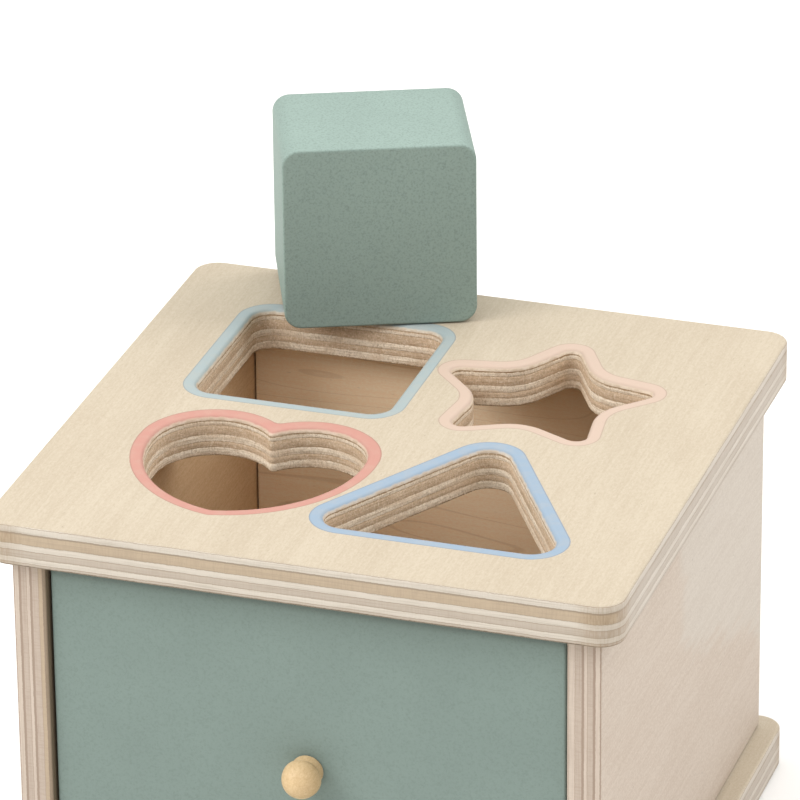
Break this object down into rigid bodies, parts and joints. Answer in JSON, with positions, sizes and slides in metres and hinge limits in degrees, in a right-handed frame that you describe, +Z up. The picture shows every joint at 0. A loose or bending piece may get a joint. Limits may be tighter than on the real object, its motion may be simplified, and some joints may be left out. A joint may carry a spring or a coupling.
{
  "type": "shape sorter toy",
  "caption": "Wooden shape sorter: a plywood box with shaped holes in its top board, a drawer that catches the blocks, and a block for each hole.",
  "frame": {"origin": "centre of the base board's underside", "axes": "+Z up, -Y towards the drawer's knob, +X to the right seen from the drawer's side"},
  "size_m": [0.15, 0.1694, 0.1617],
  "materials": {
    "ply_board": "plain plywood, sanded, clear matte",
    "ply_panel": "plain plywood, sanded, clear matte",
    "ply_drawer": "plain plywood, sanded",
    "dowel_wood": "plain turned hardwood",
    "knob_wood": "turned beech, clear satin",
    "paint_sage": "matte paint",
    "paint_coral": "matte paint",
    "paint_peach": "matte paint",
    "paint_blue": "matte paint",
    "steel": "zinc plated"
  },
  "bodies": {
    "case": {"top_board": "ply_board", "base_board": "ply_board", "left_side_panel": "ply_panel", "right_side_panel": "ply_panel", "back_panel": "ply_panel", "case_dowel_left_front": "dowel_wood", "case_dowel_left_rear": "dowel_wood", "case_dowel_right_front": "dowel_wood", "case_dowel_right_rear": "dowel_wood", "base_screw_left_front": "steel", "base_screw_left_rear": "steel", "base_screw_right_front": "steel", "base_screw_right_rear": "steel"},
    "drawer": {"drawer_front": "paint_sage", "drawer_left_side": "ply_drawer", "drawer_right_side": "ply_drawer", "drawer_back": "ply_drawer", "drawer_floor": "ply_drawer", "drawer_knob": "knob_wood", "knob_screw": "steel", "front_dowel_left_lower": "dowel_wood", "front_dowel_left_upper": "dowel_wood", "front_dowel_right_lower": "dowel_wood", "front_dowel_right_upper": "dowel_wood", "back_brad_left_lower": "steel", "back_brad_left_upper": "steel", "back_brad_right_lower": "steel", "back_brad_right_upper": "steel"},
    "square_block": {"square_block": "paint_sage"},
    "heart_block": {"heart_block": "paint_coral"},
    "star_block": {"star_block": "paint_peach"},
    "triangle_block": {"triangle_block": "paint_blue"}
  },
  "joints": [
    {"name": "drawer_slide", "type": "slide", "parent": "case", "child": "drawer", "axis": [0, -1, 0], "range_m": [0, 0.15]},
    {"name": "square_block_lift", "type": "slide", "parent": "case", "child": "square_block", "axis": [0, 0, 1], "range_m": [0, 0.06]},
    {"name": "heart_block_lift", "type": "slide", "parent": "drawer", "child": "heart_block", "axis": [0, 0, 1], "range_m": [0, 0.11]},
    {"name": "star_block_lift", "type": "slide", "parent": "drawer", "child": "star_block", "axis": [0, 0, 1], "range_m": [0, 0.11]},
    {"name": "triangle_block_lift", "type": "slide", "parent": "drawer", "child": "triangle_block", "axis": [0, 0, 1], "range_m": [0, 0.11]}
  ]
}
